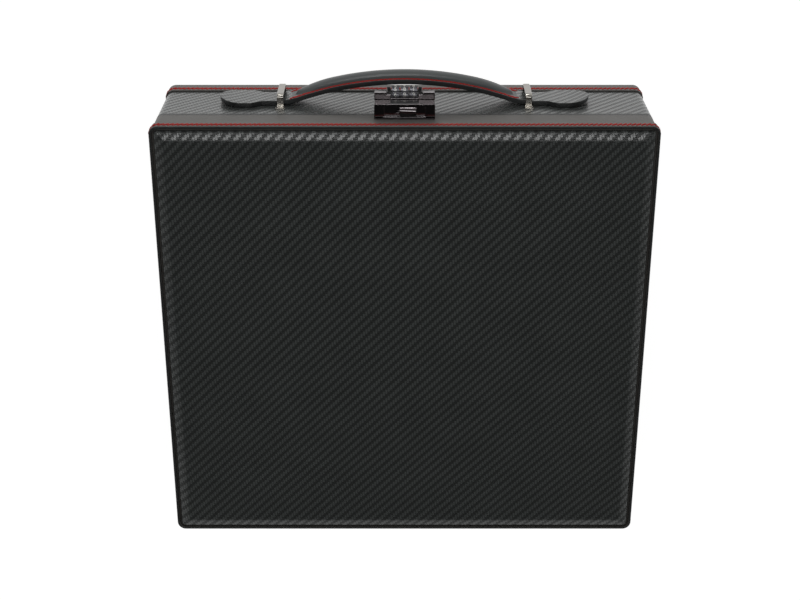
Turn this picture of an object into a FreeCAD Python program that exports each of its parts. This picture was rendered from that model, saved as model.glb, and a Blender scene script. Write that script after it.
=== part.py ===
import FreeCAD, Part
import math
import os

# A watch case for 24 watches, lying on its back.
# X runs across the case, -Y is the wall with the handle and the lock, +Y the hinge wall,
# and +Z points out of the lid. The origin is the middle of the back face. All sizes are in mm.

V = FreeCAD.Vector

# Case
case_width = 340.0
case_height = 317.0         # handle side to hinge side, over the edge bands
case_depth = 95.0           # back face to the rim of the lid
lid_depth = 29.0            # rim of the lid to the split
split_gap = 0.6
wall = 9.0
corner_radius = 6.0
board = 4.0                 # boards that close the lid and the back

# Edge bands, their rolled rims and the raised lid panel
band_proud = 1.0
lid_band_width = 10.0
body_band_width = 14.0
rim_width = 1.8
rim_round = 0.8
rim_depth = 2.5             # the rim stands this far over the seat of the panel
groove_width = 1.6          # between the rim and the panel
panel_proud = 2.5           # the flat of the panel stands this far over the rim
panel_bevel = 6.5
panel_corner_radius = 1.5
back_fit = 0.15             # round the back panel inside its rim

# Lining, dividers and watch cushions
lining = 1.2
lining_drop = 1.0           # the lining ends this far short of the split
column_count = 6
row_count = 4
divider = 4.0
divider_height = 44.0
divider_fit = 0.15
cushion_gap = 1.5
cushion_height = 46.0
cushion_crown = 7.0         # rise of the top over its long edges
cushion_tuck = 3.0          # the sides draw in by this much at the foot
cushion_round = 5.0
pad_thickness = 9.0
pad_gap = 1.0
pad_round = 4.0

# Hinge
hinge_length = 286.0
knuckle_count = 11
knuckle_gap = 0.3
barrel_radius = 2.0
barrel_inset = 1.2          # barrel axis inside the face of the hinge wall
barrel_clearance = 0.4
leaf = 1.0
leaf_reach = 7.2            # from the barrel axis to the inner edge of a leaf
hinge_pin_radius = 1.0
pin_fit = 0.05
hinge_screw_count = 6
hinge_screw_radius = 0.8
hinge_screw_head = 1.6
hinge_screw_length = 9.0
screw_fit = 0.05

# Handle
strap_width = 21.0
strap_edge = 3.2
strap_crown = 7.3
strap_gap = 15.3            # between the wall and the strap at its middle
arch_radius = 224.0
toe_radius = 60.0           # the arch turns back into the tabs on this radius
tab_width = 30.0
tab_edge = 3.0
tab_crown = 3.6
tab_seat = 0.3
tab_reach = 128.0           # from the middle of the strap to the tip of a tab
tab_shoulder = 97.0         # the tabs begin to widen here
tab_flare = 10.0
tip_curl_length = 18.0
tip_curl_radius = 90.0
tip_flat = 0.2              # straight piece left at the round tip of a tab
padded_share = 0.7          # the padding keeps its full height over this share of the arch
strap_steps = 64
handle_lift = 2.2
loop_spacing = 171.0
loop_band = 4.5
loop_thickness = 1.8
loop_side_gap = 1.7
loop_top_gap = 0.5
loop_round = 3.0
foot_thickness = 1.0
foot_length = 7.0
foot_width = 6.5
foot_margin = 3.4           # between the band of the body and the feet of the loops
stud_radius = 1.4
stud_fit = 0.1
nut_flats = 5.5
nut_thickness = 2.4
nut_sink = 0.5              # the nut ends this far under the inner face of the wall
nut_room = 0.5

# Lock on the body
lock_width = 41.0
lock_base = 2.5
lock_depth = 19.0           # along Z
lock_bar = 7.0              # along Z
lip_height = 11.0
wing_height = 15.0
cheek = 2.8
cheek_height = 13.5
wheel_count = 3
wheel_radius = 6.5
wheel_width = 5.4
wheel_gap = 0.8
wheel_axis_height = 9.0
wheel_clearance = 0.4
wheel_notches = 10
wheel_notch_radius = 0.6
axle_radius = 1.2
axle_fit = 0.05
lock_gap = 0.2              # lock and latch each stop this far short of their rim
lock_screw_span = 33.0
lock_screw_radius = 1.3
lock_screw_head = 2.6
lock_screw_head_height = 1.6
lock_screw_margin = 3.5
lock_screw_bite = 1.8

# Latch on the lid, its slider and the keeper that the slider's bolt enters
latch_height = 10.3
latch_length = 11.0         # along Z at the wall
latch_slope = 1.0
recess_width = 27.6
recess_margin = 1.9
recess_depth = 2.2
slider_width = 11.2
slider_offset = -2.2
slider_travel = 6.0
slider_fit = 0.3
slider_bulge = 1.3
lug_width = 3.0
lug_height = 1.6
bolt_radius = 1.0
bolt_level = 3.6            # over the foot of the latch
bolt_stop = 0.6             # the drawn bolt ends this far from the keeper
keeper_thickness = 2.0
keeper_gap = 0.9            # between the keeper and the lug of the thrown slider
keeper_margin = 0.9         # wall of the keeper round its eye
eye_fit = 0.4
pocket_room = 1.0
pocket_floor = 1.0

# Cutting tools reach this far past what they cut
overreach = 1.0

# Places that follow from the sizes above
wall_width = case_width - 2 * band_proud
wall_height = case_height - 2 * band_proud
wall_corner = corner_radius - band_proud
inner_width = wall_width - 2 * wall
inner_height = wall_height - 2 * wall
split_level = case_depth - lid_depth
body_top = split_level - split_gap / 2
lid_bottom = split_level + split_gap / 2
lid_seat = case_depth - rim_depth
lid_ceiling = lid_seat - board
body_seat = rim_depth
body_floor = body_seat + board
tray_width = inner_width - 2 * lining
tray_height = inner_height - 2 * lining
tray_floor = body_floor + lining
cell_width = (tray_width - (column_count - 1) * divider) / column_count
cell_height = (tray_height - (row_count - 1) * divider) / row_count
panel_width = case_width - 2 * (rim_width + groove_width)
panel_height = case_height - 2 * (rim_width + groove_width)
hinge_y = wall_height / 2 - barrel_inset
loop_inner = strap_width / 2 + loop_side_gap
handle_level = body_band_width + foot_margin + foot_length + loop_inner


def out(distance):
    """Y of a place that stands this far outside the handle wall."""
    return -wall_height / 2 - distance


def plate(width, height, bottom, top, radius=0.0, centre=(0.0, 0.0)):
    """Board with rounded upright corners, centred over a point."""
    corner = V(centre[0] - width / 2, centre[1] - height / 2, bottom)
    box = Part.makeBox(width, height, top - bottom, corner)
    if radius <= 0.0:
        return box
    upright = [e for e in box.Edges if abs(e.Vertexes[0].Z - e.Vertexes[-1].Z) > 0.5 * (top - bottom)]
    return box.makeFillet(radius, upright)


def wall_box(x0, x1, near, far, bottom, top):
    """Box on the handle wall between two distances outside it."""
    return Part.makeBox(x1 - x0, far - near, top - bottom, V(x0, out(far), bottom))


def rod_x(radius, x0, x1, y, z):
    """Round bar along X."""
    return Part.makeCylinder(radius, x1 - x0, V(x0, y, z), V(1, 0, 0))


def rod_out(radius, x, z, near, far):
    """Round bar square to the handle wall, between two distances outside it."""
    return Part.makeCylinder(radius, far - near, V(x, out(near), z), V(0, -1, 0))


def prism_x(points, x0, x1):
    """Straight prism along X over an outline of (distance outside the handle wall, Z) points."""
    corners = [V(x0, out(distance), z) for distance, z in points]
    return Part.Face(Part.makePolygon(corners + corners[:1])).extrude(V(x1 - x0, 0, 0))


def fuse(shapes):
    """One solid out of shapes that meet."""
    return shapes[0].multiFuse(shapes[1:]).removeSplitter()


def flat_edges(shape, level):
    """Edges that lie wholly at one height."""
    return [e for e in shape.Edges if all(abs(v.Z - level) < 1e-6 for v in e.Vertexes)]


def ease(value):
    """Smooth step from 0 to 1."""
    part = min(1.0, max(0.0, value))
    return part * part * (3.0 - 2.0 * part)


# Hinge places shared by the leaves, the frames and the screws

knuckle_pitch = hinge_length / knuckle_count
hinge_screw_y = hinge_y - (leaf_reach + barrel_radius + barrel_clearance) / 2
hinge_screw_pitch = hinge_length / hinge_screw_count
hinge_screw_places = [-hinge_length / 2 + (i + 0.5) * hinge_screw_pitch for i in range(hinge_screw_count)]


def hinge_screw(x, level, direction, grow=0.0):
    """Countersunk screw whose flat head ends at a rim; grown, it is the hole for it."""
    start = V(x, hinge_screw_y, level)
    head_radius = hinge_screw_head + grow
    shank_radius = hinge_screw_radius + grow
    head = Part.makeCone(head_radius, shank_radius, leaf, start, V(0, 0, direction))
    shank = Part.makeCylinder(shank_radius, hinge_screw_length + grow, start, V(0, 0, direction))
    return fuse([head, shank])


def hinge_screws(level, direction):
    return Part.makeCompound([hinge_screw(x, level, direction) for x in hinge_screw_places])


def hinge_recess(level, direction):
    """What a frame gives up to its leaf and screws, and to the swing of the lid along the whole wall."""
    length = hinge_length + 2 * barrel_clearance
    width = leaf_reach
    bottom = min(level, level + direction * leaf)
    mortise = plate(length, width, bottom, bottom + leaf, centre=(0.0, hinge_y - width / 2))
    swing = rod_x(barrel_radius + barrel_clearance, -wall_width / 2, wall_width / 2, hinge_y, split_level)
    holes = [hinge_screw(x, level, direction, screw_fit) for x in hinge_screw_places]
    return [mortise, swing] + holes


def hinge_leaf(level, direction, first_knuckle):
    """Leaf with every other knuckle of the barrel, bored for the pin."""
    bottom = min(level, level + direction * leaf)
    clear = barrel_radius + barrel_clearance
    width = leaf_reach - clear
    shapes = [plate(hinge_length, width, bottom, bottom + leaf, centre=(0.0, hinge_y - clear - width / 2))]
    for number in range(first_knuckle, knuckle_count, 2):
        x0 = -hinge_length / 2 + number * knuckle_pitch + knuckle_gap / 2
        x1 = x0 + knuckle_pitch - knuckle_gap
        shapes.append(rod_x(barrel_radius, x0, x1, hinge_y, split_level))
        shapes.append(Part.makeBox(x1 - x0, clear, leaf, V(x0, hinge_y - clear, bottom)))
    whole = fuse(shapes)
    bore = rod_x(hinge_pin_radius + pin_fit, -hinge_length / 2, hinge_length / 2, hinge_y, split_level)
    holes = [hinge_screw(x, level, direction, screw_fit) for x in hinge_screw_places]
    return whole.cut(Part.makeCompound([bore] + holes))


def hinge_pin():
    return rod_x(hinge_pin_radius, -hinge_length / 2, hinge_length / 2, hinge_y, split_level)


# Lock and latch places shared by the pieces and the walls that carry them

lock_top = body_top - lock_gap
lock_bottom = lock_top - lock_depth
bar_bottom = lock_top - lock_bar
latch_bottom = lid_bottom + lock_gap
latch_top = latch_bottom + latch_length
wheel_level = bar_bottom - wheel_clearance - wheel_radius
wheel_pitch = wheel_width + wheel_gap
well_half = wheel_count * wheel_pitch / 2
lock_screw_places = [(side * lock_screw_span / 2, z)
                     for side in (-1, 1)
                     for z in (lock_bottom + lock_screw_margin, lock_top - lock_screw_margin)]
latch_screw_places = [(side * lock_screw_span / 2, latch_bottom + lock_screw_margin) for side in (-1, 1)]


def wall_screw(x, z, sink=nut_sink, grow=0.0):
    """Screw from inside the wall into a fitting outside it; grown and not sunk, it is the hole for it."""
    head_end = nut_sink + lock_screw_head_height - wall
    shank = rod_out(lock_screw_radius + grow, x, z, nut_sink - wall, lock_screw_bite + grow)
    head = rod_out(lock_screw_head + grow, x, z, sink - wall, head_end)
    return fuse([shank, head])


def wall_screws(places):
    return Part.makeCompound([wall_screw(x, z) for x, z in places])


def wall_screw_holes(places):
    return [wall_screw(x, z, 0.0, screw_fit) for x, z in places]


bolt_height = recess_margin + (latch_height - 2 * recess_margin) / 2
bolt_z = latch_bottom + bolt_level
keeper_start = slider_offset + lug_width / 2 + slider_travel + keeper_gap
keeper_half = bolt_radius + eye_fit + keeper_margin


def lock_case():
    """Base with the barred front, the two wings, the wheel cheeks and the keeper of the latch."""
    half = lock_width / 2
    cheek_out = well_half + cheek
    shapes = [wall_box(-half, half, 0.0, lock_base, lock_bottom, lock_top),
              wall_box(-half, half, 0.0, lip_height, bar_bottom, lock_top)]
    for side in (-1, 1):
        inner, outer = sorted((side * cheek_out, side * half))
        shapes.append(wall_box(inner, outer, 0.0, wing_height, bar_bottom, lock_top))
        inner, outer = sorted((side * well_half, side * cheek_out))
        shapes.append(wall_box(inner, outer, 0.0, cheek_height, lock_bottom, lock_top))
    keeper = wall_box(keeper_start, keeper_start + keeper_thickness, bolt_height - keeper_half,
                      bolt_height + keeper_half, lock_top, bolt_z + keeper_half)
    whole = fuse(shapes + [keeper])
    eye = rod_x(bolt_radius + eye_fit, keeper_start - overreach, keeper_start + keeper_thickness + overreach,
                out(bolt_height), bolt_z)
    well = rod_x(wheel_radius + wheel_clearance, -well_half, well_half, out(wheel_axis_height), wheel_level)
    seat = rod_x(axle_radius + axle_fit, -cheek_out, cheek_out, out(wheel_axis_height), wheel_level)
    return whole.cut(Part.makeCompound([eye, well, seat] + wall_screw_holes(lock_screw_places)))


def number_wheel(number):
    """Wheel with finger notches between its ten places."""
    x0 = -well_half + number * wheel_pitch + wheel_gap / 2
    x1 = x0 + wheel_width
    y = out(wheel_axis_height)
    wheel = rod_x(wheel_radius, x0, x1, y, wheel_level)
    tools = [rod_x(axle_radius + axle_fit, x0, x1, y, wheel_level)]
    for notch in range(wheel_notches):
        turn = 2 * math.pi * (notch + 0.5) / wheel_notches
        tools.append(rod_x(wheel_notch_radius, x0, x1, y + wheel_radius * math.cos(turn),
                           wheel_level + wheel_radius * math.sin(turn)))
    return wheel.cut(Part.makeCompound(tools))


def wheel_axle():
    end = well_half + cheek
    return rod_x(axle_radius, -end, end, out(wheel_axis_height), wheel_level)


def latch_face(distance):
    """Z of the sloped front of the latch at a distance outside the wall."""
    return latch_top - latch_slope * distance / latch_height


def latch_block():
    """Sloped block with the slider's recess in front and the keeper's pocket behind."""
    half = lock_width / 2
    block = prism_x([(0.0, latch_bottom), (latch_height, latch_bottom),
                     (latch_height, latch_face(latch_height)), (0.0, latch_face(0.0))], -half, half)
    low, high = recess_margin, latch_height - recess_margin
    recess = prism_x([(low, latch_face(low) - recess_depth), (high, latch_face(high) - recess_depth),
                      (high, latch_top + overreach), (low, latch_top + overreach)],
                     -recess_width / 2, recess_width / 2)
    pocket_top = latch_face(high) - recess_depth - pocket_floor
    pocket_start = slider_offset - lug_width / 2 - pocket_room
    pocket_end = keeper_start - bolt_stop + slider_travel + pocket_room
    pocket = wall_box(pocket_start, pocket_end, bolt_height - keeper_half - pocket_room,
                      bolt_height + keeper_half + pocket_room, latch_bottom, pocket_top)
    slot = wall_box(slider_offset - lug_width / 2 - slider_fit,
                    slider_offset + lug_width / 2 + slider_travel + slider_fit,
                    bolt_height - lug_height / 2 - slider_fit, bolt_height + lug_height / 2 + slider_fit,
                    bolt_z, latch_top)
    return block.cut(Part.makeCompound([recess, pocket, slot] + wall_screw_holes(latch_screw_places)))


def latch_slider():
    """Half-round thumb piece with a lug through the recess and a bolt for the keeper."""
    low, high = recess_margin + slider_fit, latch_height - recess_margin - slider_fit
    middle = (low + high) / 2
    x0 = slider_offset - slider_width / 2

    def place(distance, over_face):
        return V(x0, out(distance), latch_face(distance) + over_face)

    floor = slider_fit - recess_depth
    arc = Part.Arc(place(high, 0.0), place(middle, slider_bulge), place(low, 0.0)).toShape()
    sides = [Part.makeLine(place(low, 0.0), place(low, floor)),
             Part.makeLine(place(low, floor), place(high, floor)),
             Part.makeLine(place(high, floor), place(high, 0.0))]
    thumb = Part.Face(Part.Wire(sides + [arc])).extrude(V(slider_width, 0, 0))
    lug = wall_box(slider_offset - lug_width / 2, slider_offset + lug_width / 2,
                   bolt_height - lug_height / 2, bolt_height + lug_height / 2,
                   bolt_z - bolt_radius, latch_face(bolt_height) - recess_depth + 2 * slider_fit)
    bolt = rod_x(bolt_radius, slider_offset, keeper_start - bolt_stop, out(bolt_height), bolt_z)
    return fuse([thumb, lug, bolt])


# Handle strap and its loops

toe_turn = math.acos(1.0 - (strap_gap - tab_seat) / (arch_radius + toe_radius))
arch_end = arch_radius * math.sin(toe_turn)
toe_end = (arch_radius + toe_radius) * math.sin(toe_turn)


def strap_underside(x):
    """Distance of the strap from the wall: an arch, a turn back into the tabs and a curled tip."""
    reach = abs(x)
    curl = max(0.0, reach - (tab_reach - tip_curl_length)) ** 2 / (2 * tip_curl_radius)
    if reach <= arch_end:
        return strap_gap - arch_radius + math.sqrt(arch_radius ** 2 - reach ** 2)
    if reach <= toe_end:
        return tab_seat + toe_radius - math.sqrt(toe_radius ** 2 - (toe_end - reach) ** 2)
    return tab_seat + curl


def strap_crown_at(x):
    """Thickness of the strap along its middle, padded only between the loops."""
    padded_end = padded_share * arch_end
    share = ease((abs(x) - padded_end) / (tab_shoulder - padded_end))
    return strap_crown + (tab_crown - strap_crown) * share


def strap_section(x):
    """Flat underside, two cut edges and a crowned top, square to X."""
    flare = ease((abs(x) - tab_shoulder) / tab_flare)
    half = (strap_width + (tab_width - strap_width) * flare) / 2
    edge = strap_edge + (tab_edge - strap_edge) * flare
    low = strap_underside(x)
    foot_left = V(x, out(low), handle_level - half)
    foot_right = V(x, out(low), handle_level + half)
    top_left = V(x, out(low + edge), handle_level - half)
    top_right = V(x, out(low + edge), handle_level + half)
    crown = V(x, out(low + strap_crown_at(x)), handle_level)
    return Part.Wire([Part.makeLine(foot_left, foot_right), Part.makeLine(foot_right, top_right),
                      Part.Arc(top_right, crown, top_left).toShape(), Part.makeLine(top_left, foot_left)])


def handle_strap():
    """Strap lofted from tip to tip, with round ends."""
    places = [-tab_reach + 2 * tab_reach * i / strap_steps for i in range(strap_steps + 1)]
    strap = Part.makeLoft([strap_section(x) for x in places], True, True)
    room = strap_gap + strap_crown + overreach
    ends = wall_box(-tab_reach, tab_reach, -overreach, room, handle_level - tab_width / 2,
                    handle_level + tab_width / 2)
    corners = [e for e in ends.Edges if abs(e.Vertexes[0].Y - e.Vertexes[-1].Y) > room / 2]
    return strap.common(ends.makeFillet((tab_width - tip_flat) / 2, corners))


loop_x = loop_spacing / 2
loop_inner_height = strap_underside(loop_x) + strap_crown_at(loop_x) + handle_lift + loop_top_gap
stud_places = [(side * loop_x, handle_level + end * (loop_inner + loop_thickness / 2))
               for side in (-1, 1) for end in (-1, 1)]


def handle_loop(side):
    """Bent band over the strap, with two feet and two threaded studs through the wall."""
    middle = side * loop_x
    x0 = middle - loop_band / 2
    outer_half = loop_inner + loop_thickness
    height = loop_inner_height + loop_thickness
    outer = wall_box(x0, x0 + loop_band, 0.0, height, handle_level - outer_half, handle_level + outer_half)
    inner = wall_box(x0, x0 + loop_band, 0.0, loop_inner_height, handle_level - loop_inner,
                     handle_level + loop_inner)

    def top_edges(shape, level):
        return [e for e in shape.Edges if all(abs(v.Y - out(level)) < 1e-6 for v in e.Vertexes)
                and abs(e.Vertexes[0].X - e.Vertexes[-1].X) > loop_band / 2]

    outer = outer.makeFillet(loop_round, top_edges(outer, height))
    inner = inner.makeFillet(loop_round - loop_thickness, top_edges(inner, loop_inner_height))
    shapes = [outer.cut(inner)]
    for end in (-1, 1):
        z = handle_level + end * (loop_inner + loop_thickness / 2)
        root = handle_level + end * loop_inner
        near, far = sorted((root, root + end * foot_length))
        shapes.append(wall_box(middle - foot_width / 2, middle + foot_width / 2, 0.0, foot_thickness,
                               near, far))
        shapes.append(rod_out(stud_radius, middle, z, nut_sink - wall, foot_thickness))
    return fuse(shapes)


def loop_nut(x, z):
    """Hexagon nut sunk into the inside of the wall."""
    corner = nut_flats / math.sqrt(3.0)
    near = nut_sink - wall
    turns = [math.pi / 3 * i for i in range(6)]
    points = [V(x + corner * math.cos(a), out(near), z + corner * math.sin(a)) for a in turns]
    nut = Part.Face(Part.makePolygon(points + points[:1])).extrude(V(0, -nut_thickness, 0))
    return nut.cut(rod_out(stud_radius + stud_fit, x, z, near, near + nut_thickness))


def loop_nuts():
    return Part.makeCompound([loop_nut(x, z) for x, z in stud_places])


def stud_holes():
    """Holes for the studs, widened for the nuts on the inside of the wall."""
    nut_radius = nut_flats / math.sqrt(3.0) + nut_room
    holes = []
    for x, z in stud_places:
        holes.append(rod_out(stud_radius + stud_fit, x, z, -wall, 0.0))
        holes.append(rod_out(nut_radius, x, z, -wall, nut_sink + nut_thickness - wall))
    return holes


# Body of the case

def frame_ring(bottom, top):
    outer = plate(wall_width, wall_height, bottom, top, wall_corner)
    return outer.cut(plate(inner_width, inner_height, bottom, top))


def body_frame():
    frame = frame_ring(body_seat, body_top)
    tools = hinge_recess(body_top, -1) + wall_screw_holes(lock_screw_places) + stud_holes()
    return frame.cut(Part.makeCompound(tools))


def edge_band(bottom, top, seat_bottom, seat_top, rim_level):
    """Band round the outside of a frame, with a rolled rim over the edge of the frame."""
    outer = plate(case_width, case_height, bottom, top, corner_radius)
    frame_room = plate(wall_width, wall_height, seat_bottom, seat_top, wall_corner)
    rim_room = plate(case_width - 2 * rim_width, case_height - 2 * rim_width, bottom, top,
                     corner_radius - rim_width)
    band = outer.cut(Part.makeCompound([frame_room, rim_room]))
    return band.makeFillet(rim_round, flat_edges(band, rim_level))


def body_edge_band():
    return edge_band(0.0, body_band_width, body_seat, body_band_width, 0.0)


def lid_edge_band():
    bottom = case_depth - lid_band_width
    return edge_band(bottom, case_depth, bottom, lid_seat, case_depth)


def back_panel():
    """Covered board under the frame, with a step that fits inside it."""
    margin = 2 * (rim_width + back_fit)
    skirt = plate(case_width - margin, case_height - margin, 0.0, body_seat, corner_radius - rim_width)
    return fuse([skirt, plate(inner_width, inner_height, body_seat, body_floor)])


def body_lining():
    tray = plate(inner_width, inner_height, body_floor, body_top - lining_drop)
    return tray.cut(plate(tray_width, tray_height, tray_floor, body_top))


def cell_x(column):
    return -tray_width / 2 + cell_width / 2 + column * (cell_width + divider)


def cell_y(row):
    return -tray_height / 2 + cell_height / 2 + row * (cell_height + divider)


divider_top = tray_floor + divider_height
divider_middle = tray_floor + divider_height / 2
notch = divider + 2 * divider_fit


def column_divider_x(number):
    return cell_x(number) + (cell_width + divider) / 2


def row_divider_y(number):
    return cell_y(number) + (cell_height + divider) / 2


def divider_row(number):
    """Divider along X, notched from above where the columns cross it."""
    y = row_divider_y(number)
    strip = plate(tray_width - 2 * divider_fit, divider, tray_floor, divider_top, centre=(0.0, y))
    tools = [plate(notch, notch, divider_middle, divider_top, centre=(column_divider_x(column), y))
             for column in range(column_count - 1)]
    return strip.cut(Part.makeCompound(tools))


def divider_column(number):
    """Divider along Y, notched from below where the rows cross it."""
    x = column_divider_x(number)
    strip = plate(divider, tray_height - 2 * divider_fit, tray_floor, divider_top, centre=(x, 0.0))
    tools = [plate(notch, notch, tray_floor, divider_middle, centre=(x, row_divider_y(row)))
             for row in range(row_count - 1)]
    return strip.cut(Part.makeCompound(tools))


def watch_cushion():
    """Soft block that a watch strap goes round: drawn in at the foot, full at the sides, crowned on top."""
    half = cell_height / 2 - cushion_gap
    width = cell_width - 2 * cushion_gap
    shoulder = cushion_height - cushion_crown
    x0 = -width / 2

    def place(y, z):
        return V(x0, y, tray_floor + z)

    outline = [Part.makeLine(place(cushion_tuck - half, 0.0), place(half - cushion_tuck, 0.0)),
               Part.Arc(place(half - cushion_tuck, 0.0), place(half, shoulder / 2),
                        place(half - cushion_tuck, shoulder)).toShape(),
               Part.Arc(place(half - cushion_tuck, shoulder), place(0.0, cushion_height),
                        place(cushion_tuck - half, shoulder)).toShape(),
               Part.Arc(place(cushion_tuck - half, shoulder), place(-half, shoulder / 2),
                        place(cushion_tuck - half, 0.0)).toShape()]
    block = Part.Face(Part.Wire(outline)).extrude(V(width, 0, 0))
    ends = [e for e in block.Edges if all(abs(abs(v.X) - width / 2) < 1e-6 for v in e.Vertexes)
            and abs(e.Vertexes[0].X - e.Vertexes[-1].X) < 1e-6]
    return block.makeFillet(cushion_round, ends)


# Lid of the case

def lid_frame():
    frame = frame_ring(lid_bottom, lid_seat)
    return frame.cut(Part.makeCompound(hinge_recess(lid_bottom, 1) + wall_screw_holes(latch_screw_places)))


def lid_board():
    return plate(inner_width, inner_height, lid_ceiling, lid_seat)


def lid_panel():
    """Padded panel: upright edge up to the rim, then a bevel up to the flat."""
    radius = corner_radius - rim_width - groove_width
    skirt = plate(panel_width, panel_height, lid_seat, case_depth, radius)
    top = plate(panel_width - 2 * panel_bevel, panel_height - 2 * panel_bevel, case_depth,
                case_depth + panel_proud, panel_corner_radius)
    low_wire = Part.Wire(Part.__sortEdges__(flat_edges(skirt, case_depth)))
    high_wire = Part.Wire(Part.__sortEdges__(flat_edges(top, case_depth + panel_proud)))
    return fuse([skirt, Part.makeLoft([low_wire, high_wire], True, True)])


def lid_lining():
    tray = plate(inner_width, inner_height, lid_bottom + lining_drop, lid_ceiling)
    return tray.cut(plate(tray_width, tray_height, lid_bottom, lid_ceiling - lining))


def lid_pad():
    top = lid_ceiling - lining
    pad = plate(tray_width - 2 * pad_gap, tray_height - 2 * pad_gap, top - pad_thickness, top, pad_round)
    return pad.makeFillet(pad_round, flat_edges(pad, top - pad_thickness))


def pieces():
    """Every sub-part by the name of its node."""
    named = {
        "body_frame": body_frame(),
        "body_edge_band": body_edge_band(),
        "back_panel": back_panel(),
        "body_lining": body_lining(),
        "lid_frame": lid_frame(),
        "lid_edge_band": lid_edge_band(),
        "lid_board": lid_board(),
        "lid_panel": lid_panel(),
        "lid_lining": lid_lining(),
        "lid_pad": lid_pad(),
        "hinge_body_leaf": hinge_leaf(body_top, -1, 0),
        "hinge_lid_leaf": hinge_leaf(lid_bottom, 1, 1),
        "hinge_pin": hinge_pin(),
        "hinge_body_screws": hinge_screws(body_top, -1),
        "hinge_lid_screws": hinge_screws(lid_bottom, 1),
        "handle_strap": handle_strap(),
        "handle_loop_left": handle_loop(1),
        "handle_loop_right": handle_loop(-1),
        "loop_nuts": loop_nuts(),
        "lock_case": lock_case(),
        "wheel_axle": wheel_axle(),
        "lock_screws": wall_screws(lock_screw_places),
        "latch_block": latch_block(),
        "latch_slider": latch_slider(),
        "latch_screws": wall_screws(latch_screw_places),
    }
    for number in range(wheel_count):
        named["number_wheel_%d" % (number + 1)] = number_wheel(number)
    for number in range(row_count - 1):
        named["divider_row_%d" % (number + 1)] = divider_row(number)
    for number in range(column_count - 1):
        named["divider_column_%d" % (number + 1)] = divider_column(number)
    cushion = watch_cushion()
    for row in range(row_count):
        for column in range(column_count):
            name = "watch_cushion_%02d" % (row * column_count + column + 1)
            named[name] = cushion.translated(V(cell_x(column), cell_y(row), 0))
    return named


os.makedirs("parts", exist_ok=True)
for name, shape in pieces().items():
    shape.exportStep("parts/%s.step" % name)
    box = shape.BoundBox
    print("%-20s solids %d valid %s volume %.1f  X %.2f %.2f  Y %.2f %.2f  Z %.2f %.2f" % (
        name, len(shape.Solids), shape.isValid(), shape.Volume,
        box.XMin, box.XMax, box.YMin, box.YMax, box.ZMin, box.ZMax))
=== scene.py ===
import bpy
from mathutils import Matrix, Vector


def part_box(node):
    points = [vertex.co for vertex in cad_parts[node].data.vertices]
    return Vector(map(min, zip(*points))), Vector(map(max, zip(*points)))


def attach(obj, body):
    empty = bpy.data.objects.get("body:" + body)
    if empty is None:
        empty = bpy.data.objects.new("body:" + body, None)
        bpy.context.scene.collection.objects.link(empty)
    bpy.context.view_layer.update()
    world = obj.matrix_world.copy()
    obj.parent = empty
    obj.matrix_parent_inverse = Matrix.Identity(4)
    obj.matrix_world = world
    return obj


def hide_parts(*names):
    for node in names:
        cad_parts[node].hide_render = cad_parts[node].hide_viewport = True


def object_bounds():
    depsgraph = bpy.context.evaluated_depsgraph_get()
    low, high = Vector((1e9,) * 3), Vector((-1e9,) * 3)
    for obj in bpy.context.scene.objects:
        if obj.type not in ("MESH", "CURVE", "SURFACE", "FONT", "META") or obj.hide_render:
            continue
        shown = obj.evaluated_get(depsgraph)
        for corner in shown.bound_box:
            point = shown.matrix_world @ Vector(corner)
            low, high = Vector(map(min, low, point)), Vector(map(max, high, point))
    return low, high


bl_info = {
    "name": "Watch box",
    "version": (1, 0, 0),
    "blender": (4, 5, 0),
    "location": "View3D > Sidebar > Watch box",
    "description": "Dresses a watch box in leatherette, thread, suede and gunmetal",
    "category": "Object",
}

import math
from functools import partial

import bpy
import numpy as np
from bpy.props import FloatProperty, IntProperty, PointerProperty, StringProperty
from mathutils import Matrix, Vector

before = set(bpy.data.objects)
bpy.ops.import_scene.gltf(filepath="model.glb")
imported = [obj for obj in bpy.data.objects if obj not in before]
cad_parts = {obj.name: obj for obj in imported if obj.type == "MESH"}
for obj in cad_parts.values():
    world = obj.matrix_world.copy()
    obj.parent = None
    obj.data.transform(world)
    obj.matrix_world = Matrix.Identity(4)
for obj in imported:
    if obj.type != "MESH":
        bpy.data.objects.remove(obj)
CAD_BOX = [[float(v) for v in corner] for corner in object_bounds()]
MM = 0.001
CUSHIONS = sorted(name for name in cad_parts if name.startswith("watch_cushion"))
DIVIDERS = sorted(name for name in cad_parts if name.startswith("divider"))
WHEELS = sorted(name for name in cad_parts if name.startswith("number_wheel"))
FINISHES = {}

# Kinds of node that the finishes share. A range takes its value at input 0, the span it comes from at 1 and 2
# and the span it goes to at 3 and 4. A mix takes its factor at 0 and two values at 2 and 3, or two colours at
# 6 and 7, and gives a colour at output 2.
COORDS, SPLIT = "ShaderNodeTexCoord", "ShaderNodeSeparateXYZ"
MATHS, MIX, RANGE = "ShaderNodeMath", "ShaderNodeMix", "ShaderNodeMapRange"
NOISE, BUMP = "ShaderNodeTexNoise", "ShaderNodeBump"


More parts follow.
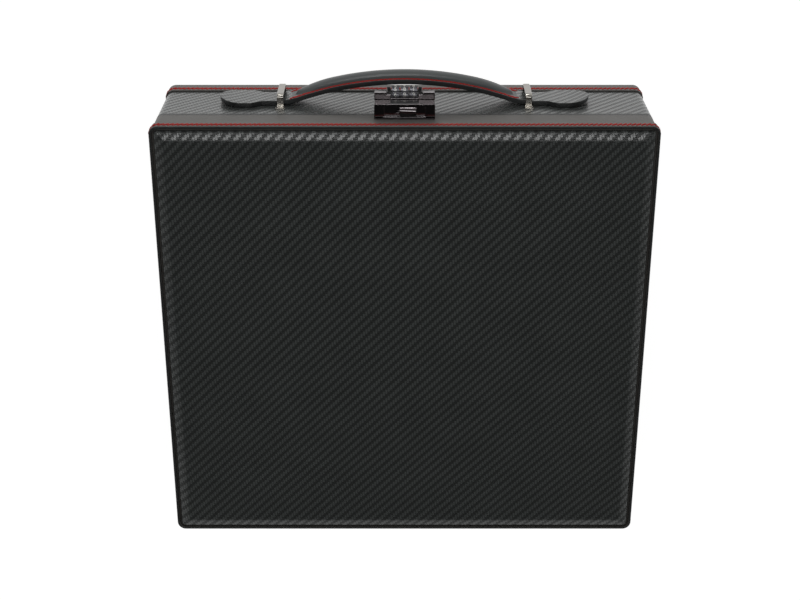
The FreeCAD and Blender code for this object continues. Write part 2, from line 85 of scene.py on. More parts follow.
class WatchBoxSizes(bpy.types.PropertyGroup):
    """Sizes of the trim that a user would change."""

    tow: FloatProperty(name="Tow", description="Width of one tow of the twill", default=1.72 * MM,
                       unit="LENGTH")
    stitch: FloatProperty(name="Stitch", description="Length of one stitch", default=5.8 * MM, unit="LENGTH")
    stitch_pitch: FloatProperty(name="Stitch pitch", description="From one stitch to the next",
                                default=3.2 * MM, unit="LENGTH")
    # The thread is drawn heavy, so that its rows look as wide as they do in the picture.
    thread: FloatProperty(name="Thread", description="Thickness of the thread", default=2.1 * MM,
                          unit="LENGTH")
    lid_row: FloatProperty(name="Lid row", description="From the rim of the lid to its row of stitches",
                           default=3.9 * MM, unit="LENGTH")
    body_row: FloatProperty(name="Body row", description="From the back face to the body's row of stitches",
                            default=9.8 * MM, unit="LENGTH")
    strap_row: FloatProperty(name="Strap row", default=2.3 * MM, unit="LENGTH",
                             description="From the edge of the strap to its row of stitches")
    digit: FloatProperty(name="Digit", description="Height of the numbers on the wheels", default=3.1 * MM,
                         unit="LENGTH")
    swell: FloatProperty(name="Swell", description="Most that a cushion swells", default=3.0 * MM,
                         unit="LENGTH")
    sim_frames: IntProperty(name="Frames", description="Frames of the cushion's cloth", default=20)


class WatchBoxColours(bpy.types.PropertyGroup):
    """Colours of the finishes as sRGB hex values."""

    # Painted sheen and shade: one set of twill tows takes the light colour, the other the dark one.
    tow_dark: StringProperty(name="Dark tow", description="Tows that run across the light",
                             default="#303231")
    tow_light: StringProperty(name="Light tow", description="Tows that run along the light",
                              default="#464948")
    leather: StringProperty(name="Band leather", description="Smooth leather of bands and lid walls",
                            default="#403E3B")
    strap: StringProperty(name="Strap leather", description="Leather of the handle", default="#272C2C")
    # Real paint on the strap's cut edges, and painted shade under the strap, along the split and on the rim's
    # front.
    edge_paint: StringProperty(name="Edge paint", description="Painted edges of strap, split and rim",
                               default="#191B1B")
    thread: StringProperty(name="Thread", description="Red thread of every seam", default="#942521")
    suede: StringProperty(name="Suede", description="Lining, pad and dividers", default="#2B2B2E")
    cushion: StringProperty(name="Cushion leather", description="Cover of the cushions", default="#3A3B3E")
    gunmetal: StringProperty(name="Gunmetal", description="Polished lock and latch", default="#5C5859")
    wheel: StringProperty(name="Wheels", description="Satin number wheels", default="#47474A")
    nickel: StringProperty(name="Nickel", description="Loops of the handle", default="#8A8781")
    steel: StringProperty(name="Steel", description="Hinge and hidden fasteners", default="#47474B")
    digits: StringProperty(name="Digits", description="Paint of the numbers", default="#D9D8D2")
    board_dark: StringProperty(name="Dark fibres", description="Dark fibres of the board", default="#7A6244")
    board_light: StringProperty(name="Light fibres", description="Light fibres of the board",
                                default="#A98B63")
    floor: StringProperty(name="Floor", description="Floor of the studio", default="#9A9A99")


def linear(hex_colour):
    """Linear RGBA of an sRGB hex value."""
    parts = [int(hex_colour[i:i + 2], 16) / 255 for i in (1, 3, 5)]
    return [p / 12.92 if p <= 0.04045 else ((p + 0.055) / 1.055) ** 2.4 for p in parts] + [1.0]


def add_node(tree, kind, inputs=None, **settings):
    """Adds a node, sets it up, links or fills its inputs, and gives back its outputs."""
    made = tree.nodes.new(kind)
    for key, value in settings.items():
        setattr(made, key, value)
    for key, value in (inputs or {}).items():
        if isinstance(value, bpy.types.NodeSocket):
            tree.links.new(value, made.inputs[key])
        else:
            made.inputs[key].default_value = value
    return made.outputs


def start_material(name):
    """Empty node material; returns (material, tree)."""
    material = bpy.data.materials.new(name)
    material.use_nodes = True
    material.node_tree.nodes.clear()
    return material, material.node_tree


def finish_material(material, inputs):
    """Ends a material with its surface."""
    surface = add_node(material.node_tree, "ShaderNodeBsdfPrincipled", inputs)[0]
    add_node(material.node_tree, "ShaderNodeOutputMaterial", {"Surface": surface})
    return material


def shaded(tree, colour, pattern, dark, light, start=0.0, end=1.0):
    """A colour that a pattern takes, from its start to its end, from a darker to a lighter share of it."""
    share = add_node(tree, RANGE, {0: pattern, 1: start, 2: end, 3: dark, 4: light})[0]
    grey = add_node(tree, "ShaderNodeCombineColor", {channel: share for channel in range(3)})[0]
    return add_node(tree, MIX, {0: 1.0, 6: colour, 7: grey}, data_type="RGBA", blend_type="MULTIPLY")[2]


def twill_leatherette(colours, sizes):
    """PVC leatherette embossed as a 2 by 2 twill: tows that run two ways catch the light in turn, so the eye
    sees fine diagonal stripes with a soft sheen. That catch is painted into the colour: a lighter painted
    sheen on one set of tows and darker painted shade on the other."""
    material, tree = start_material("twill_leatherette")
    coords = add_node(tree, COORDS)
    place = add_node(tree, SPLIT, {0: coords["Object"]})
    facing = add_node(tree, SPLIT, {0: coords["Normal"]})

    # The tows are counted along X and Z on the handle wall, Y and Z on the sides, and X and Y on the faces.
    to_side = add_node(tree, MATHS, {0: facing[0]}, operation="ABSOLUTE")[0]
    to_face = add_node(tree, MATHS, {0: facing[2]}, operation="ABSOLUTE")[0]
    on_side = add_node(tree, MATHS, {0: to_side, 1: 0.7}, operation="GREATER_THAN")[0]
    on_face = add_node(tree, MATHS, {0: to_face, 1: 0.6}, operation="GREATER_THAN")[0]
    ways = (add_node(tree, MIX, {0: on_side, 2: place[0], 3: place[1]})[0],
            add_node(tree, MIX, {0: on_face, 2: place[2], 3: place[1]})[0])
    tows = [add_node(tree, MATHS, {0: way, 1: sizes.tow}, operation="DIVIDE")[0] for way in ways]
    along, across = [add_node(tree, MATHS, {0: tow}, operation="FLOOR")[0] for tow in tows]
    in_along, in_across = [add_node(tree, MATHS, {0: tow}, operation="FRACT")[0] for tow in tows]

    # Two over, two under: the warp lies on top for two steps in four.
    step = add_node(tree, MATHS, {0: along, 1: across}, operation="SUBTRACT")[0]
    turn = add_node(tree, MATHS, {0: step, 1: 4.0}, operation="FLOORED_MODULO")[0]
    warp_up = add_node(tree, MATHS, {0: turn, 1: 1.5}, operation="LESS_THAN")[0]
    profile = add_node(tree, MIX, {0: warp_up, 2: in_across, 3: in_along})[0]
    arc = add_node(tree, MATHS, {0: profile, 1: math.pi}, operation="MULTIPLY")[0]
    ridge = add_node(tree, MATHS, {0: arc}, operation="SINE")[0]

    wear = add_node(tree, NOISE, {"Vector": coords["Object"], "Scale": 1 / (25 * MM), "Detail": 3.0})[0]
    grain = add_node(tree, NOISE, {"Vector": coords["Object"], "Scale": 1 / (0.5 * MM), "Detail": 2.0})[0]
    # Painted sheen and shade: the warp tows on top take the light colour, the weft tows the dark one.
    painted_tow_sheen = add_node(tree, MIX, {0: warp_up, 6: linear(colours.tow_dark), 7: linear(colours.tow_light)},
                    data_type="RGBA")[2]
    # Painted shade: each tow darkens towards its edges, into the gaps between the tows.
    gap_shaded_tows = shaded(tree, painted_tow_sheen, ridge, dark=0.55, light=1.05)
    crown = add_node(tree, MATHS, {0: ridge, 1: 0.6}, operation="POWER")[0]
    relief = add_node(tree, MATHS, {0: grain, 1: 0.25, 2: crown}, operation="MULTIPLY_ADD")[0]
    return finish_material(material, {
        "Base Color": shaded(tree, gap_shaded_tows, wear, dark=0.85, light=1.15),
        "Roughness": add_node(tree, MIX, {0: warp_up, 2: 0.30, 3: 0.22})[0],
        "Specular IOR Level": add_node(tree, MIX, {0: warp_up, 2: 0.2, 3: 0.45})[0],
        "Normal": add_node(tree, BUMP, {"Height": relief, "Strength": 0.25, "Distance": 0.22 * MM})[0]})


def grained_leather(name, hex_colour, roughness, grain_mm, gloss=0.4, front_shade_hex=None):
    """Smooth split leather, pigmented and lightly grained: small pebbles, a satin sheen and lighter worn
    patches. With a front shade colour, the faces that look out of the lid take it as painted shade of the
    groove beside them, and read as a dark line."""
    material, tree = start_material(name)
    coords = add_node(tree, COORDS)
    pebbles = add_node(tree, "ShaderNodeTexVoronoi", {
        "Vector": coords["Object"], "Scale": 1 / (grain_mm * MM)}, feature="SMOOTH_F1")[0]
    cloud = add_node(tree, NOISE, {"Vector": coords["Object"], "Scale": 1 / (12 * MM), "Detail": 4.0})[0]
    colour = shaded(tree, linear(hex_colour), cloud, dark=0.80, light=1.20)
    if front_shade_hex:
        # Painted shade: the faces that look out of the lid turn to the front shade colour.
        facing = add_node(tree, SPLIT, {0: coords["Normal"]})[2]
        front = add_node(tree, RANGE, {0: facing, 1: 0.6, 2: 0.85})[0]
        colour = add_node(tree, MIX, {0: front, 6: colour, 7: linear(front_shade_hex)}, data_type="RGBA")[2]
    return finish_material(material, {
        "Base Color": colour,
        "Roughness": add_node(tree, RANGE, {0: cloud, 3: roughness - 0.07, 4: roughness + 0.07})[0],
        "Specular IOR Level": gloss,
        "Normal": add_node(tree, BUMP, {"Height": pebbles, "Strength": 0.35, "Distance": 0.12 * MM})[0]})


def suede_lining(colours):
    """Microfibre suede: a short nap that scatters light, so it looks dull head on and paler at its edges."""
    material, tree = start_material("suede_lining")
    coords = add_node(tree, COORDS)["Object"]
    nap = add_node(tree, NOISE, {"Vector": coords, "Scale": 1 / (0.6 * MM), "Detail": 3.0})[0]
    stroke = add_node(tree, NOISE, {"Vector": coords, "Scale": 1 / (30 * MM), "Detail": 2.0})[0]
    brushed = add_node(tree, MATHS, {0: nap, 1: 0.4, 2: stroke}, operation="MULTIPLY_ADD")[0]
    return finish_material(material, {
        "Base Color": shaded(tree, linear(colours.suede), brushed, dark=0.7, light=1.4, start=0.3),
        "Roughness": 0.95, "Specular IOR Level": 0.1, "Sheen Weight": 0.35, "Sheen Roughness": 0.4,
        "Normal": add_node(tree, BUMP, {"Height": nap, "Strength": 0.3, "Distance": 0.1 * MM})[0]})


def twisted_thread(colours):
    """Bonded polyester thread: three plies twisted, seen as slanting ribs with a soft shine. The twist is
    drawn coarser than it is, so that it shows. Its colour is painted shade in the grooves between the plies
    and a painted highlight on their ribs."""
    material, tree = start_material("twisted_thread")
    coords = add_node(tree, COORDS)["Object"]
    plies = add_node(tree, "ShaderNodeTexWave", {
        "Vector": coords, "Scale": 1 / (3.2 * MM), "Distortion": 1.0}, bands_direction="DIAGONAL")[1]
    return finish_material(material, {
        # Painted shade in the grooves of the twist, painted highlight on its ribs.
        "Base Color": shaded(tree, linear(colours.thread), plies, dark=0.7, light=1.15),
        "Roughness": 0.7, "Specular IOR Level": 0.08,
        "Normal": add_node(tree, BUMP, {"Height": plies, "Strength": 0.4, "Distance": 0.1 * MM})[0]})


def plated_metal(name, hex_colour, roughness):
    """Plated zinc casting or wire, polished or satin: it mirrors the room, broken by faint polishing marks
    and handling."""
    material, tree = start_material(name)
    coords = add_node(tree, COORDS)["Object"]
    marks = add_node(tree, NOISE, {"Vector": coords, "Scale": 1 / (4 * MM), "Detail": 5.0})[0]
    return finish_material(material, {
        "Base Color": shaded(tree, linear(hex_colour), marks, dark=0.85, light=1.15),
        "Roughness": add_node(tree, RANGE, {0: marks, 3: roughness * 0.6, 4: roughness * 1.5})[0],
        "Metallic": 1.0})


def satin_paint(name, hex_colour, roughness):
    """Brushed-on paint, as on a cut leather edge or a filled numeral: smooth, satin and a little uneven."""
    material, tree = start_material(name)
    coords = add_node(tree, COORDS)["Object"]
    drag = add_node(tree, NOISE, {"Vector": coords, "Scale": 1 / (2 * MM), "Detail": 3.0})[0]
    return finish_material(material, {
        "Base Color": linear(hex_colour),
        "Roughness": add_node(tree, RANGE, {0: drag, 3: roughness - 0.1, 4: roughness + 0.1})[0],
        "Normal": add_node(tree, BUMP, {"Height": drag, "Strength": 0.15, "Distance": 0.1 * MM})[0]})


def fibreboard(colours):
    """Medium-density fibreboard: pressed wood fibres, matt and evenly speckled."""
    material, tree = start_material("fibreboard")
    coords = add_node(tree, COORDS)["Object"]
    fibres = add_node(tree, NOISE, {"Vector": coords, "Scale": 1 / (1.5 * MM), "Detail": 6.0})[0]
    colour = add_node(tree, MIX, {0: fibres, 6: linear(colours.board_dark), 7: linear(colours.board_light)},
                      data_type="RGBA")[2]
    return finish_material(material, {"Base Color": colour, "Roughness": 0.9})


def finishes(context):
    """Every finish of the box by name, made once."""
    if not FINISHES:
        colours = context.scene.watch_box_colours
        FINISHES.update({
            "twill_leatherette": twill_leatherette(colours, context.scene.watch_box_sizes),
            "band_leather": grained_leather("band_leather", colours.leather, roughness=0.5, grain_mm=0.9),
            # The rim's faces that look out of the lid are painted dark, as painted shade of the groove.
            "rim_leather_shaded_front": grained_leather("rim_leather_shaded_front", colours.leather, roughness=0.5, grain_mm=0.9,
                                           front_shade_hex=colours.edge_paint),
            "strap_leather": grained_leather("strap_leather", colours.strap, roughness=0.42, grain_mm=0.8,
                                             gloss=0.5),
            "cushion_leather": grained_leather("cushion_leather", colours.cushion, roughness=0.5,
                                               grain_mm=1.1),
            "suede_lining": suede_lining(colours),
            "twisted_thread": twisted_thread(colours),
            "gunmetal": plated_metal("gunmetal", colours.gunmetal, roughness=0.08),
            "wheel_gunmetal": plated_metal("wheel_gunmetal", colours.wheel, roughness=0.3),
            "polished_nickel": plated_metal("polished_nickel", colours.nickel, roughness=0.08),
            "hinge_steel": plated_metal("hinge_steel", colours.steel, roughness=0.35),
            # Real edge paint on the strap, also used as painted shade along the split and under the strap.
            "edge_paint": satin_paint("edge_paint", colours.edge_paint, roughness=0.4),
            "digit_paint": satin_paint("digit_paint", colours.digits, roughness=0.5),
            "fibreboard": fibreboard(colours),
        })
    return FINISHES


def clamp(value, low, high):
    """A value held between two limits."""
    return max(low, min(high, value))


def box_of(node):
    """Lowest and highest corner of a CAD node at rest."""
    return [Vector(corner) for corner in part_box(node)]


def pick(obj):
    """Makes one object the only selected and the active one, in object mode."""
    if bpy.context.mode != "OBJECT":
        bpy.ops.object.mode_set(mode="OBJECT")
    bpy.ops.object.select_all(action="DESELECT")
    obj.select_set(True)
    bpy.context.view_layer.objects.active = obj


def edit(obj, kind="FACE", test=None):
    """Opens an object in edit mode with the edges or faces that pass a test selected, or everything."""
    pick(obj)
    mesh = obj.data
    for group in (mesh.vertices, mesh.edges, mesh.polygons):
        group.foreach_set("select", [test is None] * len(group))
    if test and kind == "EDGE":
        for edge in mesh.edges:
            edge.select = test(*[mesh.vertices[i].co for i in edge.vertices])
    elif test:
        for face in mesh.polygons:
            face.select = test(face.center, face.normal)
    bpy.ops.object.mode_set(mode="EDIT")
    bpy.ops.mesh.select_mode(type=kind)


def close_edit():
    """Goes back to object mode."""
    bpy.ops.object.mode_set(mode="OBJECT")


def face_outwards(obj):
    """Turns every face of a closed mesh outwards."""
    edit(obj)
    bpy.ops.mesh.normals_make_consistent(inside=False)
    close_edit()


def round_edges(obj, width, segments, angle):
    """Adds a bevel on the edges that are sharper than an angle in degrees."""
    bevel = obj.modifiers.new("Bevel", "BEVEL")
    bevel.width = width
    bevel.segments = segments
    bevel.limit_method = "ANGLE"
    bevel.angle_limit = math.radians(angle)
    return bevel


def apply_modifiers(obj):
    """Makes the modifiers of an object part of its mesh."""
    pick(obj)
    for modifier in list(obj.modifiers):
        bpy.ops.object.modifier_apply(modifier=modifier.name)


def settle(obj):
    """Moves an object's place into its mesh."""
    pick(obj)
    bpy.ops.object.transform_apply(location=True, rotation=True, scale=True)


def add_block(name, low, high):
    """Box between two corners, with its place in its mesh."""
    bpy.ops.object.select_all(action="DESELECT")
    low, high = Vector(low), Vector(high)
    bpy.ops.mesh.primitive_cube_add(size=1.0, location=(low + high) / 2)
    block = bpy.context.object
    block.name = name
    block.data.name = name
    block.scale = high - low
    settle(block)
    return block


def add_slab(name, along, across):
    """Closed slab, from -1 to 1 both ways and 0 to 1 in height, whose points are then set one by one."""
    bpy.ops.object.select_all(action="DESELECT")
    bpy.ops.mesh.primitive_grid_add(x_subdivisions=along, y_subdivisions=across, size=2.0)
    slab = bpy.context.object
    slab.name = name
    edit(slab)
    bpy.ops.mesh.extrude_region_move(TRANSFORM_OT_translate={"value": (0, 0, 1)})
    close_edit()
    return slab


def finish_piece(obj, material, body, smooth_angle=35.0):
    """Smooths, dresses and hangs a piece on its body."""
    pick(obj)
    bpy.ops.object.shade_smooth_by_angle(angle=math.radians(smooth_angle))
    obj.data.materials.clear()
    obj.data.materials.append(material)
    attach(obj, body)


def join_copies(name, pattern, places):
    """One mesh out of many copies of a small pattern, each set by a matrix; the pattern is removed."""
    mesh = pattern.data
    corners = np.array([v.co[:] for v in mesh.vertices])
    faces = [list(p.vertices) for p in mesh.polygons]
    all_corners = []
    all_faces = []
    for number, place in enumerate(places):
        turn = np.array(place.to_3x3())
        all_corners.extend((corners @ turn.T + np.array(place.translation)).tolist())
        start = number * len(corners)
        all_faces.extend([[start + i for i in face] for face in faces])
    joined = bpy.data.meshes.new(name)
    joined.from_pydata(all_corners, [], all_faces)
    joined.update()
    obj = bpy.data.objects.new(name, joined)
    bpy.context.collection.objects.link(obj)
    bpy.data.objects.remove(pattern)
    return obj


# Finish, rounding of the edges in millimetres, and the solids that stay in view with it.
DRESS = (
    ("twill_leatherette", 0.0, ("body_frame", "back_panel")),
    ("band_leather", 0.0, ("lid_frame", "body_edge_band")),
    # Rim leather whose front faces are painted dark, as painted shade of the groove.
    ("rim_leather_shaded_front", 0.0, ("lid_edge_band",)),
    ("fibreboard", 0.0, ("lid_board",)),
    ("suede_lining", 0.0, ("body_lining", "lid_lining")),
    ("suede_lining", 0.6, DIVIDERS),
    ("gunmetal", 0.5, ("lock_case",)),
    ("gunmetal", 0.45, ("latch_block",)),
    ("gunmetal", 0.3, ("latch_slider",)),
    ("wheel_gunmetal", 0.15, WHEELS),
    ("polished_nickel", 0.4, ("handle_loop_left", "handle_loop_right")),
    ("hinge_steel", 0.0, ("hinge_body_leaf", "hinge_lid_leaf", "hinge_pin", "hinge_body_screws",
                          "hinge_lid_screws", "loop_nuts", "lock_screws", "latch_screws", "wheel_axle")),
)


class WATCHBOX_OT_finishes(bpy.types.Operator):
    """Dress the solids that stay in view, and soften their edges"""

    bl_idname = "watchbox.finishes"
    bl_label = "Finishes"
    weld: FloatProperty(name="Weld", description="Loose corners this close are joined before the rounding",
                        default=0.001 * MM, precision=6)

    def execute(self, context):
        made = finishes(context)
        for finish, rounding, names in DRESS:
            for node in [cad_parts[name] for name in names]:
                node.data.materials.clear()
                node.data.materials.append(made[finish])
                if rounding:
                    node.modifiers.new("Weld", "WELD").merge_threshold = self.weld
                    bevel = round_edges(node, rounding * MM, segments=3, angle=40)
                    bevel.use_clamp_overlap = False
                    bevel.harden_normals = True
        return {"FINISHED"}


class WATCHBOX_OT_lid_panel(bpy.types.Operator):
    """Padded lid panel with its sloped border"""

    bl_idname = "watchbox.lid_panel"
    bl_label = "Lid panel"
    border: FloatProperty(name="Border", description="Width of the slope", default=6.5 * MM, unit="LENGTH")
    soft: FloatProperty(name="Softness", description="Rounding of the padded edges", default=1.2 * MM,
                        unit="LENGTH")

    def execute(self, context):
        low, high = box_of("lid_panel")
        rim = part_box("lid_edge_band")[1][2]
        panel = add_block("lid_panel_cover", low, (high.x, high.y, rim))
        edit(panel, "FACE", lambda centre, normal: normal.z > 0.9)
        bpy.ops.mesh.inset(thickness=self.border, depth=high.z - rim)
        close_edit()
        edit(panel, "EDGE", lambda a, b: max(a.z, b.z) > low.z + 0.1 * MM)
        bpy.ops.mesh.bevel(offset=self.soft, segments=5, affect="EDGES")
        close_edit()
        finish_piece(panel, finishes(context)["twill_leatherette"], "lid",
                     smooth_angle=30.0)
        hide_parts("lid_panel")
        return {"FINISHED"}


class WATCHBOX_OT_split_binding(bpy.types.Operator):
    """Turned edges of the cover along the split, on the three sides away from the hinge, in near-black
    painted shade of the split line
    """

    bl_idname = "watchbox.split_binding"
    bl_label = "Split binding"
    width: FloatProperty(name="Width", description="Width of a turned edge", default=1.2 * MM, unit="LENGTH")
    proud: FloatProperty(name="Proud", description="How far it stands off the wall", default=0.06 * MM,
                         unit="LENGTH")
    corner: FloatProperty(name="Corner", description="Corner radius of the walls", default=5.0 * MM,
                          unit="LENGTH")
    hinge_room: FloatProperty(name="Hinge room", description="It ends this far short of the hinge wall",
                              default=9.0 * MM, unit="LENGTH")

    def execute(self, context):
        for node, body in (("body_frame", "case_body"), ("lid_frame", "lid")):
            low, high = box_of(node)
            if body == "case_body":
                bottom, top = high.z - self.width, high.z
            else:
                bottom, top = low.z, low.z + self.width
            ring = add_block(node + "_binding", (low.x - self.proud, low.y - self.proud, bottom),
                             (high.x + self.proud, high.y - self.hinge_room, top))
            edit(ring, "FACE", lambda centre, normal: abs(normal.z) > 0.9 or normal.y > 0.9)
            bpy.ops.mesh.delete(type="FACE")
            close_edit()
            edit(ring, "EDGE", lambda a, b: abs(a.z - b.z) > 0.1 * MM and a.y < 0)
            bpy.ops.mesh.bevel(offset=self.corner, segments=8, affect="EDGES")
            close_edit()
            skin = ring.modifiers.new("Solidify", "SOLIDIFY")
            skin.thickness = 2 * self.proud
            skin.offset = -1.0
            apply_modifiers(ring)
            # Painted shade: the strips take the near-black edge colour, as the shade of the split line.
            finish_piece(ring, finishes(context)["edge_paint"], body)
        return {"FINISHED"}


class Strap:
    """Shape of the handle: an arch, a turn back into two tabs, and curled round tips. It runs along X, and
    its place across goes from -1 at one edge to 1 at the other."""

    low, high = box_of("handle_strap")
    wall_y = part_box("body_frame")[0][1]
    level = (low.z + high.z) / 2
    reach = high.x
    width, tab_width = 21.0 * MM, 30.0 * MM
    edge, crown, tab_edge, tab_crown = 3.2 * MM, 7.3 * MM, 3.0 * MM, 3.6 * MM
    gap, seat = 15.3 * MM, 0.3 * MM
    arch, toe = 224.0 * MM, 60.0 * MM
    shoulder, flare = 97.0 * MM, 10.0 * MM
    curl_length, curl_radius = 18.0 * MM, 90.0 * MM
    row, hump_end, hump_taper = 3.0 * MM, 75.0 * MM, 16.0 * MM
    turn = math.acos(1.0 - (gap - seat) / (arch + toe))
    arch_end = arch * math.sin(turn)
    toe_end = (arch + toe) * math.sin(turn)
    full_crown = arch_end * 0.7
    fullness = 0.6

    @staticmethod
    def ease(value):
        """Smooth step from 0 to 1."""
        part = clamp(value, 0.0, 1.0)
        return part * part * (3.0 - 2.0 * part)

    @classmethod
    def underside(cls, x):
        """Height of the underside over the wall."""
        reach = abs(x)
        if reach <= cls.arch_end:
            return cls.gap - cls.arch + math.sqrt(cls.arch ** 2 - reach ** 2)
        if reach <= cls.toe_end:
            return cls.seat + cls.toe - math.sqrt(cls.toe ** 2 - (cls.toe_end - reach) ** 2)
        return cls.seat + max(0.0, reach - (cls.reach - cls.curl_length)) ** 2 / (2 * cls.curl_radius)

    @classmethod
    def half_width(cls, x):
        """Half of the width, with the flare to the tabs and their round tips."""
        flare = cls.ease((abs(x) - cls.shoulder) / cls.flare)
        half = (cls.width + (cls.tab_width - cls.width) * flare) / 2
        radius = cls.tab_width / 2
        over = abs(x) - (cls.reach - radius)
        if over > 0.0:
            half = min(half, math.sqrt(max(0.0, radius ** 2 - over ** 2)))
        return half

    @classmethod
    def hump_width(cls, x):
        """Share of the width that the padding takes: full in the middle, drawn in to round ends."""
        taper = max(0.0, abs(x) - (cls.hump_end - cls.hump_taper)) / cls.hump_taper
        return (1.0 - cls.row / cls.half_width(x)) * math.sqrt(max(0.0, 1.0 - taper ** 2))

    @classmethod
    def thickness(cls, x, across):
        """Thickness of the leather, and of the padding where there is some."""
        flare = cls.ease((abs(x) - cls.shoulder) / cls.flare)
        edge = cls.edge + (cls.tab_edge - cls.edge) * flare
        hump = cls.hump_width(x)
        if abs(across) >= hump:
            return edge
        share = cls.ease((abs(x) - cls.full_crown) / (cls.shoulder - cls.full_crown))
        crown = cls.crown + (cls.tab_crown - cls.crown) * share
        return edge + (crown - edge) * (1.0 - (across / hump) ** 2) ** cls.fullness

    @classmethod
    def bottom(cls, x, across):
        """Point on the lower face of the strap."""
        return Vector((x, cls.wall_y - cls.underside(x), cls.level + across * cls.half_width(x)))

    @classmethod
    def top(cls, x, across):
        """Point on the upper face of the strap."""
        return Vector((x, cls.wall_y - cls.underside(x) - cls.thickness(x, across),
                       cls.level + across * cls.half_width(x)))

    @classmethod
    def outward(cls, place, step=0.02):
        """Direction out of the upper face at a place on it."""
        across = (place.z - cls.level) / cls.half_width(place.x)
        slope = cls.top(place.x, across + step) - cls.top(place.x, across - step)
        run = cls.top(place.x + MM, across) - cls.top(place.x - MM, across)
        out = run.cross(slope)
        return out if out.y < 0 else -out


class WATCHBOX_OT_handle(bpy.types.Operator):
    """Padded leather strap with painted edges, and its underside painted dark as painted shade"""

    bl_idname = "watchbox.handle"
    bl_label = "Handle"
    along: IntProperty(name="Along", description="Steps along the strap", default=200)
    across: IntProperty(name="Across", description="Steps across the strap", default=28)
    rounding: FloatProperty(name="Rounding", description="Rounding of the cut edges", default=0.7 * MM,
                            unit="LENGTH")

    def execute(self, context):
        made = finishes(context)
        strap = add_slab("handle_leather", self.along, self.across)
        tip = 0.9995  # just short of the round tip, where the strap has no width
        for vertex in strap.data.vertices:
            side = Strap.top if vertex.co.z > 0.5 else Strap.bottom
            vertex.co = side(clamp(vertex.co.x, -tip, tip) * Strap.reach, vertex.co.y)
        face_outwards(strap)
        round_edges(strap, self.rounding, segments=3, angle=50)
        apply_modifiers(strap)
        finish_piece(strap, made["twill_leatherette"], "handle", smooth_angle=50.0)
        strap.data.materials.append(made["strap_leather"])
        strap.data.materials.append(made["edge_paint"])
        for face in strap.data.polygons:
            across = abs(face.center.z - Strap.level) / Strap.half_width(face.center.x)
            # Painted shade: the faces under the strap take the near-black edge colour.
            shaded_underside = face.normal.y > 0.2
            cut_edge = face.normal.y > -0.45 and across > 0.9
            if shaded_underside or cut_edge:
                face.material_index = 2
            elif abs(face.center.x) < Strap.hump_end + Strap.row:
                face.material_index = 1
        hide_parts("handle_strap")
        return {"FINISHED"}


def stitch_pattern(sizes):
    """One stitch lying along X: a flat capsule with blunt ends that are dug in."""
    flatness, bluntness, dig = 0.4, 1.6, 0.12 * MM
    bpy.ops.object.select_all(action="DESELECT")
    bpy.ops.mesh.primitive_uv_sphere_add(segments=8, ring_count=6, radius=0.5, rotation=(0, math.pi / 2, 0))
    stitch = bpy.context.object
    settle(stitch)
    for vertex in stitch.data.vertices:
        end = abs(vertex.co.x) * 2
        stretch = math.copysign(1.0 - (1.0 - end) ** bluntness, vertex.co.x) if end > 0 else 0.0
        vertex.co.x = stretch * sizes.stitch / 2
        vertex.co.y *= sizes.thread
        vertex.co.z = vertex.co.z * sizes.thread * flatness - dig * end ** 3
    return stitch


def along_line(points, pitch):
    """Evenly spaced (place, direction) pairs along a line of points, half a pitch in from its ends. The
    direction is taken over a fifth of a pitch to both sides."""
    spots = np.array(points)
    runs = np.linalg.norm(np.diff(spots, axis=0), axis=1)
    travel = np.concatenate([[0.0], np.cumsum(runs)])
    count = max(1, int(round(travel[-1] / pitch)))
    marks = (np.arange(count) + 0.5) * travel[-1] / count
    step = pitch * 0.2
    found = []
    for mark in marks:
        place, before, after = [
            Vector([np.interp(m, travel, spots[:, axis]) for axis in range(3)])
            for m in (mark, max(0.0, mark - step), min(travel[-1], mark + step))]
        found.append((place, (after - before).normalized()))
    return found


def stitch_places(points, pitch, outward, slant):
    """Matrices that lay stitches along a line, with their backs outwards and a slight slant."""
    places = []
    for place, along in along_line(points, pitch):
        up = outward(place).normalized()
        side = up.cross(along).normalized()
        run = (along + side * slant).normalized()
        side = up.cross(run).normalized()
        turn = Matrix((run, side, up)).transposed().to_4x4()
        places.append(Matrix.Translation(place) @ turn)
    return places


def round_the_band(low, high, radius, level, steps=10):
    """Points round a rounded rectangle at one level, from the middle of the handle wall and back to it."""
    centres = [(high.x - radius, low.y + radius, -90), (high.x - radius, high.y - radius, 0),
               (low.x + radius, high.y - radius, 90), (low.x + radius, low.y + radius, 180)]
    points = [Vector((0.0, low.y, level))]
    for x, y, start in centres:
        for number in range(steps + 1):
            turn = math.radians(start + 90.0 * number / steps)
            points.append(Vector((x + radius * math.cos(turn), y + radius * math.sin(turn), level)))
    return points + points[:1]


def off_the_band(inner, place):
    """Direction out of a band at a place on it, away from the rectangle that joins its corners' centres."""
    core = Vector((clamp(place.x, -inner.x, inner.x), clamp(place.y, -inner.y, inner.y), place.z))
    return place - core


